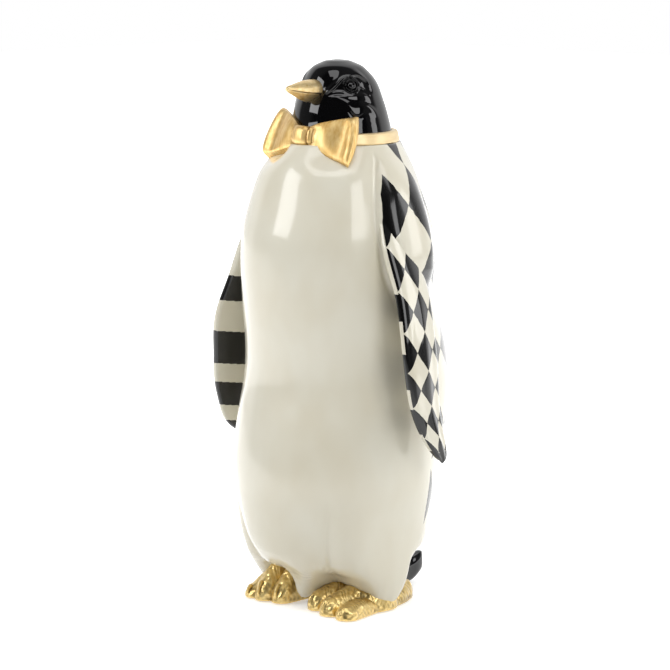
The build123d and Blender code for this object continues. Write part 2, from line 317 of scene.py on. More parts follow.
def unevenness(tree, sizeMm, detail=3.0, stretch=(1, 1, 1)):
    # cloudy pattern with patches about sizeMm across, on the object's own coordinates
    spot = addNode(tree, "TexCoord", output="Object")
    spot = addNode(tree, "Mapping", named={"Vector": spot, "Scale": stretch})
    size = {"Scale": 1 / (sizeMm * mm), "Detail": detail}
    return addNode(tree, "TexNoise", named={"Vector": spot, **size})


def coverWith(tree, shader, colour, *reliefs):
    # colour, and relief patterns laid one over the other, each with its depth in millimetres
    tree.links.new(colour, shader.inputs["Base Color"])
    surface = None
    for height, depth in reliefs:
        sockets = {"Height": height, "Distance": depth * mm, "Strength": 1.0}
        if surface is not None:
            sockets["Normal"] = surface
        surface = addNode(tree, "Bump", named=sockets)
    tree.links.new(surface, shader.inputs["Normal"])


def attributeAbove(tree, name, level):
    # 1 where the piece's own attribute is above the level
    value = addNode(tree, "Attribute", output="Fac", attribute_name=name)
    return addNode(tree, "Math", value, level, operation="GREATER_THAN")


def lozengeMask(tree, cell, shift=0.0):
    # harlequin: odd and even cells of two families of slanted lines, 1 where black
    across = addNode(tree, "SeparateXYZ", addNode(tree, "UVMap", uv_map="surface"))
    along = across.node.outputs[1]
    share = glaze["wobbleShare"]
    waver = addNode(tree, "Math", unevenness(tree, glaze["wobble"], 1.0), share, -share / 2,
                    operation="MULTIPLY_ADD")
    across = addNode(tree, "Math", across, 1 / cell[0], shift, operation="MULTIPLY_ADD")
    along = addNode(tree, "Math", along, 1 / cell[1], waver, operation="MULTIPLY_ADD")
    rising, falling = (
        addNode(tree, "Math", addNode(tree, "Math", across, along, operation=way), operation="FLOOR")
        for way in ("ADD", "SUBTRACT"))
    total = addNode(tree, "Math", rising, falling, operation="ADD")
    odd = addNode(tree, "Math", total, 2.0, operation="FLOORED_MODULO")
    return addNode(tree, "Math", odd, 0.5, operation="GREATER_THAN")


def backMask(tree):
    # lozenges behind the wavering edge of the plain front
    reach = glaze["edgeReach"]
    region = addNode(tree, "Attribute", output="Fac", attribute_name="patternEdge")
    region = addNode(tree, "Math", region, reach / 2, operation="SUBTRACT")
    region = addNode(tree, "Math", unevenness(tree, glaze["edgeWaver"], 2.0), reach, region,
                     operation="MULTIPLY_ADD")
    inside = addNode(tree, "Math", region, 0.0, operation="GREATER_THAN")
    return addNode(tree, "Math", inside, lozengeMask(tree, glaze["backCell"], 0.5), operation="MULTIPLY")


def flipperMask(tree):
    # lozenges outside, plain bands inside, a black tip
    pick = addNode(tree, "Mix", attributeAbove(tree, "innerFace", 0.5), data_type="FLOAT",
                   named={2: lozengeMask(tree, glaze["flipperCell"]),
                          3: attributeAbove(tree, "bandTone", 0.0)})
    return addNode(tree, "Math", pick, attributeAbove(tree, "tipTone", 0.0), operation="MAXIMUM")


def makeEnamel(name, coatRough, makeMask):
    # ivory enamel with a warm cloudy tone, black where the mask is 1, under levelled lacquer
    # that leaves a faint soft relief of the brush
    material, tree, shader = newMaterial(name, Roughness=0.35, Coat_Weight=1.0,
                                         Coat_Roughness=coatRough, Specular_IOR_Level=0.1)
    cloud = unevenness(tree, glaze["mottle"], 2.0, (1, 1, 0.6))
    amount = addNode(tree, "MapRange", cloud, *glaze["mottleSpread"])
    ivory = addNode(tree, "Mix", amount, output=2, data_type="RGBA",
                    named={6: glaze["ivory"], 7: glaze["ivoryWarm"]})
    colour = addNode(tree, "Mix", makeMask(tree), output=2, data_type="RGBA",
                     named={6: ivory, 7: glaze["black"]})
    coverWith(tree, shader, colour, (unevenness(tree, glaze["sag"], 1.0), glaze["sagDeep"]),
              (unevenness(tree, glaze["brush"], 2.0, (1, 1, 0.25)), glaze["brushDeep"]))
    return material


def makeBlackGloss():
    # black enamel under thick gloss lacquer: sharp reflections, no grain
    material, tree, shader = newMaterial("black_enamel_gloss", Roughness=0.3, Coat_Weight=1.0,
                                         Coat_Roughness=0.045, Specular_IOR_Level=0.0)
    light, dark = glaze["blackTones"]
    colour = addNode(tree, "Mix", unevenness(tree, glaze["blackPatch"], 2.0), output=2,
                     data_type="RGBA", named={6: dark, 7: light})
    coverWith(tree, shader, colour, (unevenness(tree, glaze["blackSag"], 1.0), glaze["blackSagDeep"]))
    return material


gold = {
    # bright and middle tone of each finish, and the painted shade tone of its recesses
    "bow": ("#F8DB9A", "#D6A652", "#7A5418"),
    "collar": ("#F4DFB2", "#E9CF9C", "#B8925A"),
    "beak": ("#FBE6B4", "#E4BE74", "#5E4010"),
    "foot": ("#F6DC98", "#DDBA6A", "#5F4612"),
    "streak": 2.6, "streakSpread": (0.25, 0.85),  # size and contrast of the rubbed tone
    "bristle": 0.45,  # brush grain in the size under the leaf
    "leafPebble": 1.1,  # crinkle of the leaf on the beak and feet
    "rub": 3.0, "rubRange": (-0.07, 0.12),  # patches of finer and coarser polish
}


def makeGold(name, finish, rough, grainStretch, grainDepth, pebbleDepth, darkening):
    # gold leaf over sized resin, rubbed back: metal with brush grain, with painted shade darkening its
    # recesses
    bright, middle, dark = gold[finish]
    material, tree, shader = newMaterial(name, Metallic=1.0, Coat_Weight=0.5, Coat_Roughness=0.25)
    streak = unevenness(tree, gold["streak"], 3.0, grainStretch)
    tone = addNode(tree, "MapRange", streak, *gold["streakSpread"])
    colour = addNode(tree, "Mix", tone, output=2, data_type="RGBA", named={6: bright, 7: middle})
    # painted shade: the recess value blends the colour towards the dark tone
    recess = addNode(tree, "Attribute", output="Fac", attribute_name="recess")
    paintedShade = addNode(tree, "Math", recess, darkening, operation="MULTIPLY", use_clamp=True)
    colour = addNode(tree, "Mix", paintedShade, output=2, data_type="RGBA", named={6: colour, 7: dark})
    coverWith(tree, shader, colour, (unevenness(tree, gold["bristle"], 2.0, grainStretch), grainDepth),
              (unevenness(tree, gold["leafPebble"], 2.0), pebbleDepth))
    low, high = (rough + change for change in gold["rubRange"])
    polish = addNode(tree, "MapRange", unevenness(tree, gold["rub"], 3.0), 0.0, 1.0, low, high)
    tree.links.new(polish, shader.inputs["Roughness"])
    return material


def makePlain(name, light, dark, rough, sizeMm, depth):
    # a plain matte finish with its own fine grain, for felt, dowels and the raw cast plug
    material, tree, shader = newMaterial(name, Roughness=rough)
    grain = unevenness(tree, sizeMm, 4.0)
    colour = addNode(tree, "Mix", grain, output=2, data_type="RGBA", named={6: light, 7: dark})
    coverWith(tree, shader, colour, (grain, depth))
    return material


bodyGlaze = makeEnamel("ivory_enamel_gloss", 0.13, backMask)
flipperGlaze = makeEnamel("flipper_enamel_gloss", 0.07, flipperMask)
blackGloss = makeBlackGloss()
satinLeaf = makeGold("satin_gold_leaf", "bow", 0.44, (1, 1, 0.08), 0.03, 0.02, 0.7)
collarLeaf = makeGold("pale_gold_leaf", "collar", 0.50, (0.15, 0.15, 1), 0.03, 0.02, 0.5)
beakLeaf = makeGold("pebbled_gold_leaf", "beak", 0.40, (1, 1, 1), 0.02, 0.16, 0.9)
crinkledLeaf = makeGold("crinkled_gold_leaf", "foot", 0.33, (1, 1, 1), 0.03, 0.10, 1.0)
felt = makePlain("pressed_felt", "#3A3733", "#24211E", 0.95, 0.6, 0.15)
birch = makePlain("turned_birch", "#C9A878", "#B08D5C", 0.6, 1.5, 0.05)
rawCast = makePlain("raw_cast_resin", "#CFCABB", "#BDB7A6", 0.5, 2.0, 0.05)
print("materials made")


# body: rings of two half ovals, whose half width, front and back reach follow these stations

body = {
    # height, half width, front reach, back reach
    "stations": np.array([
        (5, 58.0, 43.0, 38.0), (9, 61.0, 47.0, 43.0), (16, 64.5, 52.5, 49.0),
        (27, 67.5, 60.0, 54.0), (38, 69.5, 66.8, 58.5), (46, 70.5, 71.4, 62.6),
        (62, 73.3, 77.3, 66.5), (77, 76.4, 79.7, 66.8), (92, 79.8, 81.3, 67.4),
        (123, 81.8, 79.1, 78.2), (154, 80.0, 72.5, 93.1), (171, 77.8, 68.4, 96.0),
        (185, 76.2, 67.4, 94.3), (200, 75.0, 68.2, 91.2), (231, 74.0, 73.0, 76.5),
        (246, 74.0, 74.6, 73.0), (262, 74.2, 75.6, 75.2), (277, 74.0, 75.2, 77.0),
        (292, 72.8, 73.2, 73.2), (308, 69.8, 68.4, 66.6), (323, 65.2, 63.6, 60.5),
        (338, 58.4, 58.6, 57.0), (350, 51.0, 51.5, 52.5), (357, 46.0, 45.2, 50.5),
    ]),
    "columns": 320, "rows": 300,
    # closer rows and columns: extra density, middle and spread
    "rowsCloser": ((1.6, 18, 26), (0.6, 258, 25)),
    "columnsCloser": ((1.4, 36, 9), (1.6, 73, 10), (2.0, 5, 5)),
    "legTurn": 38.0, "legLean": 0.05,  # side of the leg's crease, more with height above legLevel
    "legLevel": 40, "legFade": (38, 112),
    "legCrease": ((3.4, 15, 6), (1.3, 2.2, 2.2)),  # depth, spread before and behind
    "legSwell": (2.4, 55, 13), "farLegSwell": (2.5, -56, 20), "farLegFade": (5, 60),
    # arch over each foot: turn round the body, share of its full height and depth
    "arch": ((-72, -60, -50, -45, -40, -33, -22, -15, -10, -6, -3,
              0, 3, 6, 10, 15, 22, 33, 40, 47, 54, 62),
             (0, 0.05, 0.20, 0.34, 0.58, 0.88, 1, 0.88, 0.56, 0.24, 0.06,
              0, 0.06, 0.24, 0.56, 0.88, 1, 1, 0.84, 0.50, 0.18, 0)),
    "archDeep": 9.0, "archFade": (5, 58),
    # height of the rim at each turn: low between the feet, high over each foot and over the tail
    "rim": ((-180, -126, -118, -110, -100, -93, -85, -78, -70, -62, -55, -47, -39, -31, -20, -11,
             -8, -5, -3.5, -2.8, 0, 4, 8, 12, 16, 20, 31, 39, 47, 55, 62, 70, 76, 85, 93, 100,
             110, 118, 126, 180),
            (19, 19, 18, 14, 9, 5.4, 4, 4.4, 6, 9, 13, 18, 22.4, 24.6, 22, 22,
             20.5, 17, 13, 8.5, 7.5, 7.5, 9, 11, 13, 15.5, 20, 20.8, 19.9, 17, 13.6, 6.5, 4, 3.2, 5,
             9.5, 14, 18, 19, 19)),
    "rimFade": 39, "rimRoll": (0.035, 4.5),  # how much the rim is rolled in, over what height
    # rings that close the underside: share of the rim's size and how far they lie above it
    "under": ((0.6, 1.0), (0.93, 0.4), (0.985, 0.1)),
    # overhang of the belly between the feet: how far the front lies in below it, at heights
    "fork": ((5, 9, 16, 22, 27, 31, 35, 40, 46), (1, 4, 8, 9.6, 9.6, 8.0, 5.4, 2.6, 0)),
    "forkWide": 10,
    # the coat's hem over the tail: how far the back lies in below it, at heights
    "hem": ((5, 9, 16, 27, 34, 38, 42, 46, 50), (0, 2.5, 8.0, 12.5, 15, 13.5, 6.5, 1.5, 0)),
    "hemSides": (96, 120),
    # strokes carved above each foot: side, height, length, how they are spread, number, height
    "strokes": (27.0, 19.0, 15.0), "strokeWide": 6.5, "strokeCount": 25, "strokeHigh": 0.22,
    "strokeRound": 62,  # radius of the body there
    "armCrease": ((235, 250, 262, 277, 297, 322, 345), (80, 76, 73, 70.5, 68, 70, 77)),
    "armRise": (232, 262), "armFall": (338, 356),
    "armCut": ((2.6, 12, 4), (0.8, 1.6, 1.6)),  # depth, spread before and behind
    "armSwell": ((235, 246, 256, 264, 274, 286, 302, 322, 336, 348),
                 (0, 2.5, 7.0, 9.0, 8.6, 7.4, 6.2, 4.6, 2.4, 0)),
    "armWide": (-1, 13), "armBack": (100, 122),
    # dents: depth, turn and its spread, height and its spread
    "armpit": (1.8, 118, 5, 262, 14),
    "bowFlat": (8.0, 37, 17, 352, 10),  # a flat on each side of the neck, where the bow lies
    "bowSeat": (5.0, -30, 20, 353, 9),  # deeper under its right wing
    "patternSide": ((5, 77, 150, 200, 235, 250, 262, 277, 297, 322, 340, 352),
                    (112, 109, 105, 97, 84, 79, 76, 73.5, 71, 73, 79, 86)),
    "patternRound": 78.0,  # radius at which a lozenge's width is measured
}


def dent(turn, height, shape):
    deep, place, wide, level, tall = shape
    return -deep * bell(height, level, tall) * bell(turn, place, wide)


def crease(side, place, cuts):
    # a soft trough with a sharp line in it
    return -sum(deep * leanBell(side, place, before, behind) for deep, before, behind in cuts)


def bodyRelief(angle, height):
    # millimetres added along the radius: creases between the legs and at the arms, the legs' and
    # the arms' swell, and the carved strokes over the feet
    side = np.abs(angle)
    leg = body["legTurn"] + body["legLean"] * (height - body["legLevel"])
    high, place, wide = body["legSwell"]
    relief = (1 - ramp(height, *body["legFade"])) * (
        crease(side, leg, body["legCrease"]) + high * bell(side, place, wide))
    high, place, wide = body["farLegSwell"]
    relief += high * bell(angle, place, wide) * (1 - ramp(height, *body["farLegFade"]))
    arch = np.interp(angle, *body["arch"]) * (1 - ramp(height, *body["archFade"]))
    relief -= body["archDeep"] * arch
    relief -= np.interp(height, *body["fork"]) * bell(side, 0, body["forkWide"])
    relief -= np.interp(height, *body["hem"]) * ramp(side, *body["hemSides"])
    turn, level, long = body["strokes"]
    across = np.radians(side - turn) * body["strokeRound"]
    away = np.hypot(across, height - level)
    fan = np.cos(np.arctan2(height - level, across) * body["strokeCount"] + 1.5 * np.sin(away * 0.3))
    fan = fan * bell(away, long, body["strokeWide"]) * ramp(height, level - 4, level + 4)
    relief += body["strokeHigh"] * fan
    arm = smoothCurve(height, *body["armCrease"])
    relief += window(height, body["armRise"], body["armFall"]) * crease(side, arm, body["armCut"])
    before, behind = body["armWide"]
    bulge = ramp(side, arm + before, arm + behind) * (1 - ramp(side, *body["armBack"]))
    relief += np.interp(height, *body["armSwell"]) * bulge
    relief += dent(side, height, body["armpit"]) + dent(side, height, body["bowFlat"])
    return relief + dent(angle, height, body["bowSeat"])


def makeBody():
    stations = body["stations"]
    lowest = stations[0, 0]
    height = spreadOut(lowest, neckHeight, body["rows"], body["rowsCloser"])
    turns = spreadOut(-180, 180, body["columns"] + 1, body["columnsCloser"])
    angle, level = np.meshgrid(turns, height)
    x, y, radius = ovalAt(np.radians(angle), *curvesAt(level, stations))
    scale = 1 + bodyRelief(angle, level) / radius
    rings = np.stack([x * scale, y * scale, level], 2)
    # the rim is lifted to its height at each turn and rolled in, and the underside is closed
    lift = np.interp(angle, *body["rim"]) - lowest
    rings[..., 2] += lift * (1 - ramp(level, lowest, body["rimFade"]))
    rolled, tall = body["rimRoll"]
    roll = 1 - rolled * (1 - ramp(level, lowest, lowest + tall)) ** 2
    rings[..., :2] *= roll[..., None]
    under = [rings[0] * (share, share, 1) + (0, 0, drop) for share, drop in body["under"]]
    rings = np.concatenate([np.stack(under), rings])
    # the pattern's own surface: millimetres behind the edge of the plain front, and u and v
    boundary = np.interp(level, *body["patternSide"])
    edge = np.radians(np.abs(angle) - boundary) * body["patternRound"]
    uv = np.stack([np.radians(angle) * body["patternRound"], level], 2)
    edge, uv = (np.concatenate([grid[:1]] * len(under) + [grid]) for grid in (edge, uv))
    mesh = tubeMesh("body", rings[:, :-1], uv, {"patternEdge": edge[:, :-1]})
    return finishPiece("body", [mesh], bodyGlaze, ["body_casting"])


makeBody()


# head: a dome of the same kind of rings with brows, eyes and cheeks raised in it

head = {
    "sizes": (38.5, 35.0, 44.0),  # half width, front and back at the neck
    # share of the height above the neck, and the shares of those sizes there
    "shares": np.array([
        (0.000, 1.000, 1.000, 1.000), (0.150, 0.995, 0.985, 0.985), (0.270, 0.960, 0.950, 0.940),
        (0.400, 0.909, 0.923, 0.886), (0.540, 0.835, 0.857, 0.818), (0.680, 0.753, 0.771, 0.745),
        (0.800, 0.660, 0.690, 0.614), (0.880, 0.555, 0.610, 0.490), (0.935, 0.440, 0.500, 0.375),
        (0.975, 0.285, 0.350, 0.235), (0.992, 0.165, 0.225, 0.135), (1.000, 0.040, 0.080, 0.020),
    ]),
    "columns": 380, "rows": 234, "crownRows": 26,
    "rowsCloser": (2.4, 0.10), "columnsCloser": (3.4, 17),  # extra density at the eye, and spread
    "eye": (65.5, 401.8), "eyeFlat": 1.18, "ball": 3.7, "ballStand": 2.4,
    # rings round the eye: height, radius, spread
    "lids": ((-0.5, 4.0, 0.45), (0.95, 5.05, 0.6), (-0.35, 6.05, 0.45)),
    "outerLid": (0.60, 7.2, 0.65),
    # lines of the face as turns round the head and heights
    "brow": ((14, 27, 39, 46, 58, 72, 85, 93, 100, 106, 114),
             (391, 396.7, 402.1, 405.6, 408.6, 409.6, 408.8, 406.3, 403.4, 399.4, 393)),
    "cheek": ((22, 33, 45, 56, 74, 86, 98), (395.6, 394.4, 392.7, 391.2, 390.6, 388.7, 385)),
    "jaw": ((22, 36, 50, 55, 60, 77, 85, 98), (394.6, 392.6, 389.6, 386.6, 382.4, 383.0, 384.6, 380)),
    "behind": ((74, 78, 84, 91, 98), (398.6, 398.9, 398.5, 396.5, 394.0)),
    "lore": ((30, 38, 49, 55), (396.2, 396.8, 396.8, 396.2)),
    "browHigh": 1.25, "browTall": (1.5, 3.4), "browSides": ((17, 30), (82, 104)),
    "socketDeep": 1.7, "socketTall": (393.2, 398.2), "socketSides": ((22, 40), (88, 104)),
    "cheekHigh": 0.8, "cheekSides": ((26, 58), (84, 104)),
    # ridges and furrows along a line: line, step above it, height, spread, sides at both ends
    "ridges": (
        ("lore", 0, 0.4, 1.2, (33, 38), (48, 54)), ("lore", -2.0, -0.3, 1.2, (22, 30), (50, 58)),
        ("behind", 0, 0.3, 1.2, (76, 80), (88, 95)), ("behind", -2.1, -0.2, 1.5, (74, 79), (90, 99)),
        ("jaw", -2.6, -0.2, 2.8, (40, 60), (80, 98)),
    ),
    # feather tufts behind the jaw: side, height, size
    "tufts": ((81, 381.0, 1.7), (85, 378.6, 1.4), (77, 377.2, 1.3), (80, 372.6, 1.8), (87, 373.4, 1.3)),
    "tuftHigh": 0.12, "tuftWide": 0.55,
}


def headRelief(angle, height, radius):
    # millimetres added along the radius for brow, socket, lids, lore line, cheek and feather tufts
    side = np.abs(angle)
    lines = {key: smoothCurve(side, *head[key]) for key in ("brow", "cheek", "jaw", "behind", "lore")}
    brow, cheek, jaw = lines["brow"], lines["cheek"], lines["jaw"]
    relief = head["browHigh"] * window(side, *head["browSides"])
    relief = relief * leanBell(height, brow + 0.6, *head["browTall"])
    socket = ramp(brow - height, 0.2, 2.8) * ramp(height, *head["socketTall"])
    relief -= head["socketDeep"] * socket * window(side, *head["socketSides"])
    # the cheek is a plane that starts under the cheek line and turns in again at the jaw line
    plane = ramp(cheek - height, -0.6, 0.6 * (cheek - jaw) + 1.0) * ramp(height - jaw, -5.0, 1.0)
    relief += head["cheekHigh"] * plane * window(side, *head["cheekSides"])
    for line, step, high, spread, rise, fall in head["ridges"]:
        relief += high * bell(height, lines[line] + step, spread) * window(side, rise, fall)
    for place, level, size in head["tufts"]:
        away = np.hypot(np.radians(side - place) * radius * head["tuftWide"], height - level)
        relief += head["tuftHigh"] * bell(away, 0, size)
    # eyeball and two lids round it
    turn, level = head["eye"]
    up = (height - level) * head["eyeFlat"]
    away = np.hypot(np.radians(side - turn) * radius, up)
    ball = head["ball"]
    relief += head["ballStand"] * np.sqrt(np.clip(ball ** 2 - away ** 2, 0, None)) / ball
    for high, ring, spread in head["lids"]:
        relief += high * bell(away, ring, spread)
    high, ring, spread = head["outerLid"]
    return relief + high * bell(away, ring, spread) * (0.45 + 0.55 * ramp(np.abs(up), 1, 4))


def makeHead():
    tall = totalHeight - neckHeight
    eyeTurn, eyeLevel = head["eye"]
    more, spread = head["rowsCloser"]
    eyeShare = (eyeLevel - neckHeight) / tall
    crown = np.sin(np.linspace(0, np.pi / 2, head["crownRows"] + 1)[1:])
    sides = spreadOut(0, 0.97, head["rows"], [(more, eyeShare, spread)])
    fraction = np.concatenate([sides, 0.97 + 0.03 * crown])
    more, spread = head["columnsCloser"]
    turns = spreadOut(-180, 180, head["columns"] + 1, [(more, eyeTurn, spread)])
    angle, part = np.meshgrid(turns, fraction)
    sizes = zip(head["sizes"], curvesAt(part, head["shares"]))
    x, y, radius = ovalAt(np.radians(angle), *(size * np.maximum(share, 0.02) for size, share in sizes))
    level = neckHeight + tall * part
    scale = 1 + headRelief(angle, level, radius) * ramp(radius, 6, 16) / radius
    rings = np.stack([x * scale, y * scale, level], 2)
    mesh = tubeMesh("head", rings[:, :-1])
    return finishPiece("head", [mesh], blackGloss, ["head_casting"])


makeHead()


# beak: two mandibles that meet in a groove

beak = {
    # share of the length, half width, top and bottom half height, drop of the middle
    "stations": np.array([
        (0.00, 8.4, 8.6, 6.0, 0.6), (0.18, 9.2, 9.4, 7.2, 0.4), (0.36, 9.1, 9.3, 8.0, 0.1),
        (0.55, 7.8, 8.2, 6.9, -0.3), (0.72, 5.8, 6.1, 5.0, -1.1), (0.86, 3.9, 4.2, 3.2, -1.9),
        (0.95, 2.5, 2.8, 2.0, -2.4), (1.00, 1.0, 1.1, 0.9, -2.8),
    ]),
    "root": 19.0, "tip": 56.2, "height": 396.6, "mouth": -1.4,
    "groove": 0.85, "lowerIn": 0.5,  # depth of the mouth line, and how far the lower half lies in
    "rows": 110, "columns": 120,
}


def makeBeak():
    part, turn = sweepGrid(0, 1, beak["rows"], beak["columns"])
    part = part ** 0.9
    wide, top, bottom, drop = curvesAt(part, beak["stations"])
    across = np.cos(turn)
    up = np.sin(turn)
    keel = 1 - np.abs(across) ** 1.35
    tall = np.where(up > 0, top * np.abs(up) ** 0.92, -bottom * keel)
    mouthLine = beak["mouth"] * (1 - part)
    groove = beak["groove"] * bell(tall, mouthLine, 0.55) * (1 - ramp(part, 0.82, 0.98))
    lower = beak["lowerIn"] * ramp(mouthLine - tall, 0, 1.5) * (1 - 0.5 * part)
    inward = 1 - (groove + lower) / np.maximum(wide, 2.0)
    y = -(beak["root"] + (beak["tip"] - beak["root"]) * part)
    rings = np.stack([wide * across * inward, y, beak["height"] - drop + tall * inward], 2)
    # painted shade in the mouth groove and on the lower mandible under the upper one
    mesh = tubeMesh("beak", rings[::-1], None, {"recess": (groove * 1.1 + lower * 0.4)[::-1]})
    return finishPiece("beak", [mesh], beakLeaf, ["beak"])


makeBeak()


# collar: a flat band round the neck, a little narrower at its top

collar = {
    "inner": (38.9, 35.4, 44.4), "foot": 6.6, "rim": 4.6, "tall": 9.0, "underBow": 3.0,
    "wave": ((0.14, 5, 0), (0.10, 11, 1)),  # unevenness of the modelled band: height, number, shift
    "columns": 240, "rows": 48,
}


def makeCollar():
    grids = sweepGrid(0, fullTurn, collar["columns"] + 1, collar["rows"])
    around, section = (grid[:-1] for grid in grids)
    out, up = blockPower(section, 0.38)
    lift = (up + 1) / 2
    thick = collar["foot"] + (collar["rim"] - collar["foot"]) * lift
    atFront = bell(np.abs(around - np.pi), np.pi, 0.5)
    thick = thick - collar["underBow"] * atFront * (0.4 + 0.6 * (1 - lift))
    stand = thick * (out + 1) / 2 - 0.6
    stand = stand + sum(high * np.sin(count * around + shift) for high, count, shift in collar["wave"])
    x, y, _ = ovalAt(around, *(size + stand for size in collar["inner"]))
    points = np.stack([x, y, neckHeight + collar["tall"] * lift], 2)
    mesh = ringMesh("collar", points, {"recess": 0 * lift})
    return finishPiece("collar", [mesh], collarLeaf, ["collar_band"])


makeCollar()


# bow tie: a knot with a ridge at each side and two wings with a rolled outer rim

bow = {
    # corners of a wing's front face as x, y, z: at the knot and at the outer end
    "rootTop": (5.0, -38.2, 370.2), "rootBottom": (5.0, -40.6, 357.2),
    "outerTop": (40.0, -21.2, 381.3), "outerBottom": (46.2, -37.6, 346.6),
    "arch": 0.65, "belly": 0.85,  # how early the upper and lower edge widen
    "bulge": 3.2,  # outer end curved outward
    "thick": (4.5, 6.5),
    "facing": (0.30, -0.88, 0.36),  # the way that a wing's thickness goes
    "bevel": (-5.0, 1.8, -4.4),  # lower back edge from the lower front edge
    # height, share of the length, spread: the outer rim with a trough inside it, and the face
    "rimAndTrough": ((1.2, 0.90, 0.08), (-0.8, 0.72, 0.13)), "swell": (1.6, 0.36, 0.2),
    "foldHigh": 0.3,
    "tilt": 0.04,  # the left wing hangs a little lower
    "rows": 150, "columns": 180,
    "knotHalf": 6.5, "knotLong": 12.5, "knotTall": 7.4, "knotDeep": 6.3, "knotLean": 12.0,
    "knotMiddle": (0.0, -37.6, 363.6), "knotCurve": 0.030,
    # a barrel, a groove at each side of it and a ring ridge split by a second groove: share of
    # the size, distance from the barrel's end, spread
    "knotRings": ((0.08, 2.2, 1.2), (-0.08, 3.9, 0.45), (0.03, 4.8, 0.7)),
}


def wingEdge(root, end, part, early):
    # an edge of a wing, straight as seen from above: its height goes with a power of the way
    return (a + (b - a) * way for a, b, way in zip(root, end, (part, part, part ** early)))


def makeWing(side):
    part, turn = sweepGrid(0, 1, bow["rows"], bow["columns"])
    up, out = blockPower(turn, 0.30)
    top = wingEdge(bow["rootTop"], bow["outerTop"], part, bow["arch"])
    low = wingEdge(bow["rootBottom"], bow["outerBottom"], part, bow["belly"])
    x, y, z = (lower + (upper - lower) * (up + 1) / 2 for upper, lower in zip(top, low))
    x = x + bow["bulge"] * (1 - up ** 2) * part ** 3
    # the face swells near the knot, and its outer end has a rolled rim with a trough inside it
    shape = sum(high * bell(part, place, spread) for high, place, spread in bow["rimAndTrough"])
    high, place, spread = bow["swell"]
    fold = bow["foldHigh"] * np.cos(up * 6.0) * (1 - ramp(part, 0.10, 0.42)) * (1 - up ** 4)
    shape = shape + high * (1 - up ** 2) * bell(part, place, spread) + fold
    ending = np.sqrt(np.clip(1 - ramp(part, 0.955, 1.0) ** 2, 0.0004, 1))
    thick = bow["thick"][0] + (bow["thick"][1] - bow["thick"][0]) * part
    sink = thick * (1 - out * ending) / 2 - shape * np.clip(out, 0, 1) * (1 - np.abs(up) ** 8)
    back = np.clip(-up, 0, 1) ** 2 * (1 - out) / 2 * part
    x, y, z = (line - way * sink + cut * back
               for line, way, cut in zip((x, y, z), bow["facing"], bow["bevel"]))
    points = np.stack([side * x, y, z - bow["tilt"] * side * x], 2)
    # painted shade: darker in the trough inside the rim, in the folds and near the knot
    recess = 0.30 * bell(part, 0.74, 0.07) * (out > 0) + np.clip(-fold, 0, 1)
    recess = recess + 0.8 * (1 - ramp(part, 0.1, 0.22))
    return tubeMesh("wing", points[::-1, ::side], None, {"recess": recess[::-1, ::side]})


def makeKnot():
    part, turn = sweepGrid(-1, 1, 120, 120)
    up, out = blockPower(turn, 0.62)
    long, half = bow["knotLong"], bow["knotHalf"]
    across = part * long
    place = np.abs(across)
    size = 1.03 - 0.04 * ramp(place, 2.0, half) - 0.13 * ramp(place, half - 0.3, half + 0.5)
    size += sum(high * bell(place, half + away, spread) for high, away, spread in bow["knotRings"])
    size *= np.sqrt(np.clip(1 - ramp(place, long - 1.1, long) ** 2, 0.001, 1))
    lean = math.radians(bow["knotLean"])
    tall = up * bow["knotTall"] * size
    deep = out * bow["knotDeep"] * size
    centre = bow["knotMiddle"]
    swept = bow["knotCurve"] * place ** 2 * ramp(place, 0, 6)
    y = centre[1] + tall * math.sin(lean) - deep * math.cos(lean) + swept
    z = centre[2] + tall * math.cos(lean) + deep * math.sin(lean) - bow["tilt"] * across
    # painted shade in the grooves beside the barrel
    recess = 1.3 * bell(place, half + 0.5, 0.6) + 1.3 * bell(place, half + 4.0, 0.5)
    return tubeMesh("knot", np.stack([centre[0] + across, y, z], 2)[::-1], None,
                    {"recess": (recess + 0 * up)[::-1]})


finishPiece("bow_tie_gilt", [makeKnot(), makeWing(1), makeWing(-1)], satinLeaf, ["bow_tie"])


# flippers: lens sections carried down a curved path to a blunt tip

flipper = {
    # height, centre x, centre y, chord, thickness
    "stations": np.array([
        (302, 64.0, -9.0, 28.0, 10.0), (285, 70.8, -9.8, 35.0, 13.0), (268, 77.2, -9.2, 38.5, 14.0),
        (248, 84.1, -7.8, 40.0, 12.6), (222, 91.2, -9.6, 41.0, 11.8), (187, 96.8, -10.1, 40.5, 11.2),
        (163, 99.4, -9.2, 35.0, 10.6), (146, 101.8, -5.6, 28.6, 9.8), (131, 104.4, -0.4, 19.0, 8.0),
        (122, 106.2, 3.0, 10.0, 5.6),
    ]),
    # how far the right flipper hangs forward of the left one, at heights
    "rightForward": ((118, 133, 145, 164, 190, 205, 226, 245, 268, 290),
                     (6.0, 8.6, 7.2, 6.6, 6.2, 7.8, 7.8, 5.0, 1.6, 0)),
    "turned": 10.0,  # the front edge stands out from the body
    "outer": (0.80, 0.56), "inner": (0.62, 0.42),  # roundness and share of the thickness
    "feather": (0.5, 7.0),  # two faint ridges down the outer face: height, number over the chord
    "rows": 230, "columns": 160,
    "blade": 42.0,  # chord of the widest section, for the pattern
    "bands": ((247, 227), (203, 176.5), (162, 142.5), (130, 100)),  # black bands of the inner face
    "bandSlant": 0.12,
    "tip": 129.0,
    "cells": ((120, 200, 302), (20.0, 29.0, 34.0)),  # height of a lozenge along the blade
}


